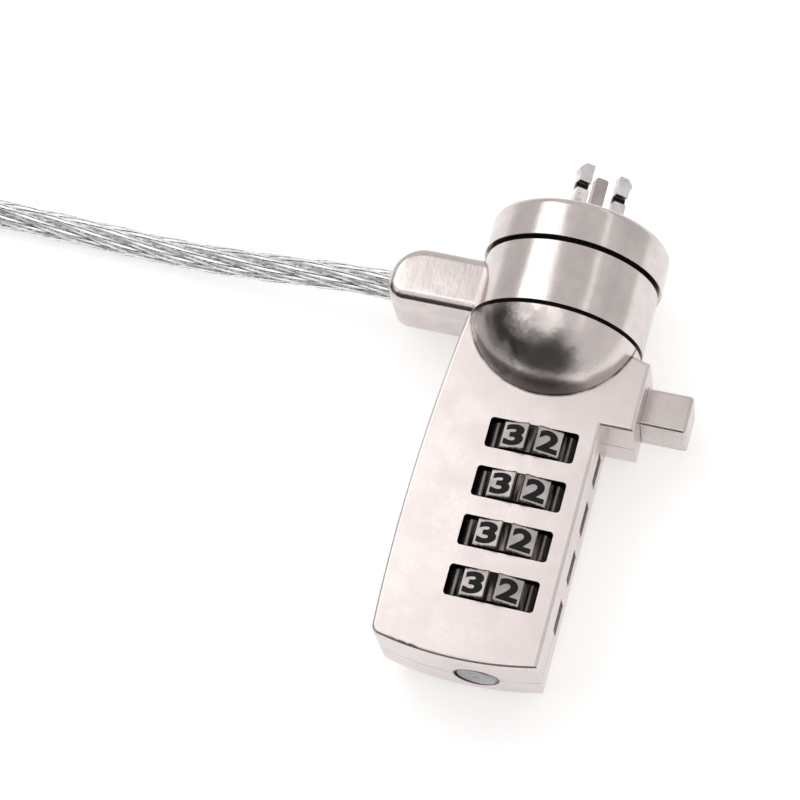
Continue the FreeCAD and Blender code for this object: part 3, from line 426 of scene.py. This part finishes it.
def make_strand_material():
    """Galvanised wires: fine ridges that wind round each strand, in its UV space."""
    material, nodes, shader = new_material("galvanised_wire")
    where = nodes.add("ShaderNodeTexCoord").outputs["UV"]
    parts = nodes.add("ShaderNodeSeparateXYZ", Vector=where).outputs
    wires = nodes.maths("SUBTRACT", nodes.maths("MULTIPLY", parts[0], WIRES_PER_STRAND),
                        parts[1])
    wave = nodes.maths("SINE", nodes.both(wires, math.pi))
    ridge = nodes.ranged(nodes.maths("ABSOLUTE", wave), 0.0, 0.62)
    place = nodes.add("ShaderNodeTexCoord").outputs["Object"]
    cloud = nodes.noise(place, 700.0, 3.0, 0.6)
    tone = nodes.blend(nodes.ranged(cloud, 0.35, 0.65), colour(0.90, 0.91, 0.92),
                       colour(1.0, 1.0, 1.0))
    dashes = nodes.ranged(nodes.noise(where, 3.1, 3.0, 0.7, (1.7, 0.9, 1.0)), 0.46, 0.53)
    # Painted shade: near-black in the grooves between the wires, in broken dashes.
    groove = nodes.both(nodes.maths("SUBTRACT", 1.0, ridge), dashes)
    nodes.feed(shader, "Base Color", nodes.blend(groove, tone, colour(0.035, 0.036, 0.038)))
    nodes.feed(shader, "Metallic", 0.85)
    nodes.feed(shader, "Roughness", nodes.ranged(cloud, 0.3, 0.7, 0.25, 0.45))
    nodes.feed(shader, "Normal", nodes.bump(ridge, 0.00022))
    return material


def make_jacket_material():
    """A thin clear vinyl jacket, a little hazy."""
    material, nodes, shader = new_material("clear_jacket")
    place = nodes.add("ShaderNodeTexCoord").outputs["Object"]
    cloud = nodes.noise(place, 500.0, 3.0)
    nodes.feed(shader, "Base Color", nodes.blend(cloud, colour(0.95, 0.96, 0.965),
                                                 colour(1.0, 1.0, 1.0)))
    nodes.feed(shader, "Roughness", nodes.ranged(cloud, 0.3, 0.7, 0.06, 0.16))
    nodes.feed(shader, "Alpha", 0.04)
    nodes.feed(shader, "IOR", 1.5)
    nodes.feed(shader, "Normal", nodes.bump(cloud, 0.00003))
    return material


def make_tie_material():
    """Black hook-and-loop tape: a close nap with paler fibre ends."""
    material, nodes, shader = new_material("hook_and_loop_tape")
    place = nodes.add("ShaderNodeTexCoord").outputs["Object"]
    nap = nodes.noise(place, 2200.0, 4.0, 0.75)
    loops = nodes.add("ShaderNodeTexVoronoi", Vector=place, Scale=1900.0).outputs["Distance"]
    nodes.feed(shader, "Base Color", nodes.blend(nodes.ranged(nap, 0.45, 0.75),
                                                 colour(0.012, 0.012, 0.014),
                                                 colour(0.075, 0.075, 0.08)))
    nodes.feed(shader, "Roughness", 0.92)
    nodes.feed(shader, "Sheen Weight", 0.35)
    nodes.feed(shader, "Normal", nodes.bump(loops, 0.00025, 0.8))
    return material


def dress_nodes(materials):
    """Gives every CAD node the detailed material of its slot."""
    own = {"button": "button_metal", "centre_blade": "blade_metal"}
    for name, node in NODES.items():
        for slot in node.material_slots:
            slot.material = materials[own.get(name, slot_of(name))]


# ---------------------------------------------------------------- meshes
def mesh_piece(name, points, faces, material, body, smooth=True, uvs=None):
    """A new mesh object that rides on a CAD body; uvs holds one pair for each corner."""
    mesh = bpy.data.meshes.new(name)
    mesh.from_pydata([tuple(point) for point in points], [], faces)
    if uvs:
        layer = mesh.uv_layers.new(name="UVMap")
        layer.data.foreach_set("uv", [value for pair in uvs for value in pair])
    mesh.materials.append(material)
    mesh.polygons.foreach_set("use_smooth", [smooth] * len(mesh.polygons))
    mesh.update()
    piece = bpy.data.objects.new(name, mesh)
    bpy.context.scene.collection.objects.link(piece)
    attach(piece, body)
    return piece


def copied(node):
    """A copy of a CAD node, on the same body, shown in its place."""
    source = NODES[node]
    mesh = source.data.copy()
    mesh.name = f"{node}_finished"
    piece = bpy.data.objects.new(mesh.name, mesh)
    bpy.context.scene.collection.objects.link(piece)
    for index, slot in enumerate(source.material_slots):
        piece.material_slots[index].material = slot.material
    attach(piece, body_of(node))
    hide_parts(node)
    return piece


def softened(node, width, segments=3, angle=25):
    """A copy of a CAD node with small rounded edges."""
    piece = copied(node)
    mesh = piece.data
    shape = bmesh.new()
    shape.from_mesh(mesh)
    bmesh.ops.remove_doubles(shape, verts=shape.verts, dist=0.000001)
    bmesh.ops.dissolve_limit(shape, angle_limit=math.radians(1.0), verts=shape.verts,
                             edges=shape.edges)
    sharp = [edge for edge in shape.edges
             if edge.is_manifold and edge.calc_face_angle(0.0) > math.radians(angle)]
    bmesh.ops.bevel(shape, geom=sharp, offset=width, segments=segments, profile=0.5,
                    affect="EDGES", clamp_overlap=True)
    shape.to_mesh(mesh)
    shape.free()
    mesh.polygons.foreach_set("use_smooth", [True] * len(mesh.polygons))
    mesh.update()
    weighted = piece.modifiers.new("even_normals", "WEIGHTED_NORMAL")
    weighted.keep_sharp = False
    return piece


def sprung(node):
    """A copy of a spring's node, with a mesh of its own."""
    piece = copied(node)
    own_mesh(piece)
    return piece


def body_of(node):
    """The body that the record puts a CAD node on."""
    for body, members in frame["record"]["behaviour"]["bodies"].items():
        if node in members:
            return body


def slot_of(node):
    """The material slot that the record gives a CAD node."""
    for row in frame["record"]["subparts"]:
        if row["node"] == node:
            return row["material_slot"]


# ---------------------------------------------------------------- dial digits
DIALS, PADS = 4, 10
PAD_TURN = math.radians(360 / PADS)
PAD_OUT = 6.55 * MM
FRONT_DIGIT = 2
DIGIT_HIGH, DIGIT_WIDE = 2.62 * MM, 2.45 * MM
DIGIT_LIFT = 0.015 * MM


def make_digits(materials):
    """The numbers on each dial's ten pads, upright towards the hooks."""
    for number in range(1, DIALS + 1):
        low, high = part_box(f"dial_{number}")
        middle = (low + high) / 2
        shape = bmesh.new()
        for pad in range(PADS):
            angle = PAD_TURN * (pad + 0.5)
            out = Vector((math.sin(angle), 0, math.cos(angle)))
            across = Vector((math.cos(angle), 0, -math.sin(angle)))
            at = middle + out * (PAD_OUT + DIGIT_LIFT)
            place = Matrix((across, Vector((0, 1, 0)), out)).transposed().to_4x4()
            place = Matrix.Translation(at) @ place
            digit = digit_mesh(str((FRONT_DIGIT - pad) % PADS))
            digit.transform(place)
            shape.from_mesh(digit)
            bpy.data.meshes.remove(digit)
        mesh = bpy.data.meshes.new(f"dial_{number}_digits")
        shape.to_mesh(mesh)
        shape.free()
        mesh.materials.append(materials["digit_fill"])
        piece = bpy.data.objects.new(f"dial_{number}_digits", mesh)
        bpy.context.scene.collection.objects.link(piece)
        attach(piece, f"dial_{number}")


def digit_mesh(text):
    """One bold digit, centred, lying in the XY plane."""
    curve = bpy.data.curves.new("digit", "FONT")
    curve.body = text
    curve.size = 1.0
    curve.offset = 0.042
    curve.extrude = 0.006
    curve.resolution_u = 6
    holder = bpy.data.objects.new("digit", curve)
    bpy.context.scene.collection.objects.link(holder)
    graph = bpy.context.evaluated_depsgraph_get()
    mesh = bpy.data.meshes.new_from_object(holder.evaluated_get(graph))
    bpy.data.objects.remove(holder)
    bpy.data.curves.remove(curve)
    xs = [vertex.co.x for vertex in mesh.vertices]
    ys = [vertex.co.y for vertex in mesh.vertices]
    tall = DIGIT_HIGH / (max(ys) - min(ys))
    wide = min(tall * 1.7, DIGIT_WIDE / (max(xs) - min(xs)))
    shift = Vector((-(max(xs) + min(xs)) / 2, -(max(ys) + min(ys)) / 2, 0))
    mesh.transform(Matrix.Diagonal((wide, tall, tall, 1.0)) @ Matrix.Translation(shift))
    return mesh


# ---------------------------------------------------------------- cable
CABLE_RADIUS = 2.0 * MM
# The same route as the model's: from the lug to the coil, then the end loop on the coil.
CABLE_ROUTE = [(-19.0, 27.2, 7.7), (-27.0, 27.2, 7.7), (-38.0, 27.5, 4.9),
               (-51.0, 28.0, 2.35), (-66.0, 28.6, 2.05), (-82.0, 28.9, 2.1),
               (-97.0, 28.2, 2.1)]
COIL_MIDDLE = (-107.2, -5.3)
LOOP_ROUTE = [(-20.6, -26.4, 7.5), (-8.1, -32.5, 9.7), (6.4, -32.9, 10.4),
              (19.4, -27.3, 10.4), (27.8, -19.5, 10.4), (28.0, -7.8, 10.6),
              (20.0, 0.8, 11.1), (2.0, 1.1, 11.1), (-8.9, 13.9, 10.6),
              (-22.6, 15.3, 10.4), (-32.8, 6.1, 10.4), (-32.8, -7.7, 10.4),
              (-22.6, -16.9, 10.4), (-8.9, -15.5, 10.6), (2.0, -3.1, 11.1),
              (12.4, -3.1, 11.1)]
TURN_POINTS = 16
TURN_OUTER, TURN_INNER, TURNS = 33.5, 13.5, 5
LAYER_LOW, LAYER_HIGH, CLIMB_TURNS = 2.1, 6.2, 0.25
COIL_START, COIL_STOP = 0.05, 10.36
STRANDS, STRAND_LAY, STRAND_SIDES = 6, 44.0 * MM, 14
STRAND_RING, STRAND_RADIUS = 1.16 * MM, 0.62 * MM
WIRES_PER_STRAND, WIRE_LAY = 8, -2.6 * MM


def coil_points():
    """Two flat layers: five turns inwards, a climb, then five turns back out on top."""
    pitch = (TURN_OUTER - TURN_INNER) / TURNS
    points = []
    steps = int((COIL_STOP - COIL_START) * TURN_POINTS) + 1
    for step in range(steps):
        turn = COIL_START + step / TURN_POINTS
        inward = min(turn, TURNS)
        outward = max(0.0, turn - TURNS - CLIMB_TURNS)
        radius = TURN_OUTER - pitch * inward + pitch * outward
        radius = min(radius, TURN_OUTER) / math.cos(math.pi / TURN_POINTS)
        rise = min(1.0, max(0.0, (turn - TURNS) / CLIMB_TURNS))
        level = LAYER_LOW + (LAYER_HIGH - LAYER_LOW) * rise
        angle = math.radians(90) + 2 * math.pi * turn
        points.append((COIL_MIDDLE[0] + radius * math.cos(angle),
                       COIL_MIDDLE[1] + radius * math.sin(angle), level))
    return points


def make_cable_line(name, thick):
    """A smooth tube of radius thick along the cable, or its bare line when thick is 0."""
    points = list(CABLE_ROUTE) + coil_points()
    points += [(COIL_MIDDLE[0] + x, COIL_MIDDLE[1] + y, z) for x, y, z in LOOP_ROUTE]
    curve = bpy.data.curves.new(name, "CURVE")
    curve.dimensions = "3D"
    spline = curve.splines.new("NURBS")
    spline.points.add(len(points) - 1)
    for point, place in zip(spline.points, points):
        point.co = (*(value * MM for value in place), 1.0)
    spline.order_u = 3
    spline.use_endpoint_u = True
    curve.resolution_u = 8
    curve.bevel_depth = thick
    curve.bevel_resolution = 5
    curve.use_fill_caps = thick > 0
    piece = bpy.data.objects.new(name, curve)
    bpy.context.scene.collection.objects.link(piece)
    return piece


def line_points():
    """The points along the cable's smooth middle line."""
    line = make_cable_line("cable_line", 0.0)
    graph = bpy.context.evaluated_depsgraph_get()
    mesh = bpy.data.meshes.new_from_object(line.evaluated_get(graph))
    points = [vertex.co.copy() for vertex in mesh.vertices]
    bpy.data.meshes.remove(mesh)
    bpy.data.objects.remove(line)
    return points


def make_strands(line, material):
    """Six strands that wind round each other, with the wires' lay kept in their UVs."""
    points, faces, uvs = [], [], []
    for strand in range(STRANDS):
        first = len(points)
        walked, along = 0.0, []
        for index, at in enumerate(line):
            before, after = line[max(index - 1, 0)], line[min(index + 1, len(line) - 1)]
            ahead = (after - before).normalized()
            side = Vector((0, 0, 1)).cross(ahead).normalized()
            up = ahead.cross(side)
            if index:
                walked += (at - line[index - 1]).length
            along.append(walked)
            turn = 2 * math.pi * (strand / STRANDS + walked / STRAND_LAY)
            out = side * math.cos(turn) + up * math.sin(turn)
            round_it = up * math.cos(turn) - side * math.sin(turn)
            for corner in range(STRAND_SIDES):
                angle = 2 * math.pi * corner / STRAND_SIDES
                points.append(at + out * (STRAND_RING + STRAND_RADIUS * math.cos(angle))
                              + round_it * STRAND_RADIUS * math.sin(angle))
        for index in range(len(line) - 1):
            for corner in range(STRAND_SIDES):
                following = (corner + 1) % STRAND_SIDES
                row, above = first + index * STRAND_SIDES, first + (index + 1) * STRAND_SIDES
                faces.append((row + corner, row + following, above + following,
                              above + corner))
                left, right = corner / STRAND_SIDES, (corner + 1) / STRAND_SIDES
                low, high = along[index] / WIRE_LAY, along[index + 1] / WIRE_LAY
                uvs += [(left, low), (right, low), (right, high), (left, high)]
    return mesh_piece("cable_strands", points, faces, material, "collar", uvs=uvs)


def make_ferrule(material):
    """The pressed oval sleeve that closes the end loop, with two press marks."""
    low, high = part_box("loop_ferrule")
    middle = (low + high) / 2
    half = (high - low) / 2
    sides = 40
    profile = [(-1.0, 0.0), (-1.0, 0.86), (-0.97, 0.95), (-0.90, 1.0), (-0.45, 1.0),
               (-0.38, 0.93), (-0.24, 0.93), (-0.17, 1.0), (0.17, 1.0), (0.24, 0.93),
               (0.38, 0.93), (0.45, 1.0), (0.90, 1.0), (0.97, 0.95), (1.0, 0.86), (1.0, 0.0)]
    points, faces = [], []
    for along, scale in profile:
        for side in range(sides):
            angle = 2 * math.pi * side / sides
            across = math.copysign(abs(math.cos(angle)) ** 0.7, math.cos(angle))
            over = math.copysign(abs(math.sin(angle)) ** 0.85, math.sin(angle))
            shrink = half.y * (1 - scale)
            points.append((middle.x + along * half.x,
                           middle.y + across * max(half.y - shrink, 0.0),
                           middle.z + over * max(half.z - shrink, 0.0)))
    for ring in range(len(profile) - 1):
        for side in range(sides):
            following = (side + 1) % sides
            row, above = ring * sides, (ring + 1) * sides
            faces.append((row + side, above + side, above + following, row + following))
    return mesh_piece("loop_sleeve", points, faces, material, "collar")


TIE_TURN, TIE_WIDE, TIE_THICK = 48, 9.0 * MM, 0.9 * MM
TIE_INNER, TIE_OUTER, TIE_TOP, TIE_CORNER = 10.6 * MM, 36.4 * MM, 9.1 * MM, 3.4 * MM
TIE_CLEAR = 0.03 * MM


def band_path(low, high, corner, steps=8):
    """A rounded rectangle as a list of points, clockwise from its upper right corner."""
    (left, bottom), (right, top) = low, high
    middles = [(right - corner, top - corner), (right - corner, bottom + corner),
               (left + corner, bottom + corner), (left + corner, top - corner)]
    path = []
    for quarter, (x, z) in enumerate(middles):
        for step in range(steps + 1):
            angle = math.radians(90 - 90 * quarter - 90 * step / steps)
            path.append((x + corner * math.cos(angle), z + corner * math.sin(angle)))
    return path


def add_ribbon(points, faces, path, closed, wide):
    """A flat strip of the strap's thickness along a path of (out, up) points."""
    first, count = len(points), len(path)
    for index, (out, up) in enumerate(path):
        before = path[index - 1] if index or closed else path[0]
        after = path[(index + 1) % count] if index + 1 < count or closed else path[-1]
        ahead = Vector((after[0] - before[0], after[1] - before[1])).normalized()
        normal = Vector((-ahead.y, ahead.x)) * TIE_THICK / 2
        half = wide(index) / 2
        for side, aside in ((-1, -half), (-1, half), (1, half), (1, -half)):
            points.append((out + normal.x * side, aside, up + normal.y * side))
    for index in range(count if closed else count - 1):
        row, above = first + index * 4, first + (index + 1) % count * 4
        for side in range(4):
            following = (side + 1) % 4
            faces.append((row + side, row + following, above + following, above + side))
    if not closed:
        last = len(points) - 4
        faces.append((first + 3, first + 2, first + 1, first))
        faces.append((last, last + 1, last + 2, last + 3))


def make_tie(material):
    """A hook-and-loop strap round the coil's turns, its rounded end lapped on top."""
    inset = TIE_THICK / 2
    points, faces = [], []
    loop = band_path((TIE_INNER + inset, inset + TIE_CLEAR),
                     (TIE_OUTER - inset, TIE_TOP - inset), TIE_CORNER)
    add_ribbon(points, faces, loop, True, lambda index: TIE_WIDE)
    lap_from, lap_to, steps = TIE_OUTER - 4.5 * MM, TIE_INNER + 5.0 * MM, 14
    lap = [(lap_from + (lap_to - lap_from) * step / steps,
            TIE_TOP + inset * (1.0 if step > 1 else -0.6 + 0.8 * step))
           for step in range(steps + 1)]
    add_ribbon(points, faces, lap, False, lambda index: TIE_WIDE * (
        1.0 if index < steps - 3 else math.sqrt(1.0 - ((index - steps + 3.0) / 3.2) ** 2)))
    turn = math.radians(TIE_TURN)
    place = Matrix.Translation(Vector((*COIL_MIDDLE, 0)) * MM) @ Matrix.Rotation(turn, 4, "Z")
    points = [place @ Vector(point) for point in points]
    return mesh_piece("coil_strap", points, faces, material, "collar",
                      smooth=False)


def make_cable(materials):
    """The jacket as a tube along the cable's route, with its strands, sleeve and strap."""
    jacket = make_cable_line("cable_jacket", CABLE_RADIUS)
    jacket.data.materials.append(materials["cable"])
    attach(jacket, "collar")
    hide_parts("cable_run", "cable_coil", "cable_loop")
    strands = make_strands(line_points(), materials["strand_metal"])
    sleeve = make_ferrule(materials["ferrule_metal"])
    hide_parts("loop_ferrule")
    strap = make_tie(materials["tie_fabric"])
    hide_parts("coil_tie")


# ---------------------------------------------------------------- the scene
EDGES = {"left_hook": 0.09 * MM, "right_hook": 0.09 * MM, "centre_blade": 0.08 * MM,
         "button": 0.10 * MM, "collar": 0.12 * MM, "cap": 0.12 * MM}
SPRINGS = {"button_spring": "button_press", "spindle_spring": "spindle_lift",
           "plunger_spring": "plunger_press"}

bpy.context.scene.view_settings.view_transform = "Standard"
make_camera()
make_world()
make_area("key_light", at=(-0.20, 0.13, 0.32), aim=(-0.02, 0.0, 0.0), size=(0.20, 0.30),
          power=0.225)
make_floor()
MATERIALS = make_materials()
dress_nodes(MATERIALS)
make_cable(MATERIALS)
make_digits(MATERIALS)
for name, edge in EDGES.items():
    softened(name, edge)
for name, joint_name in SPRINGS.items():
    sprung(name)
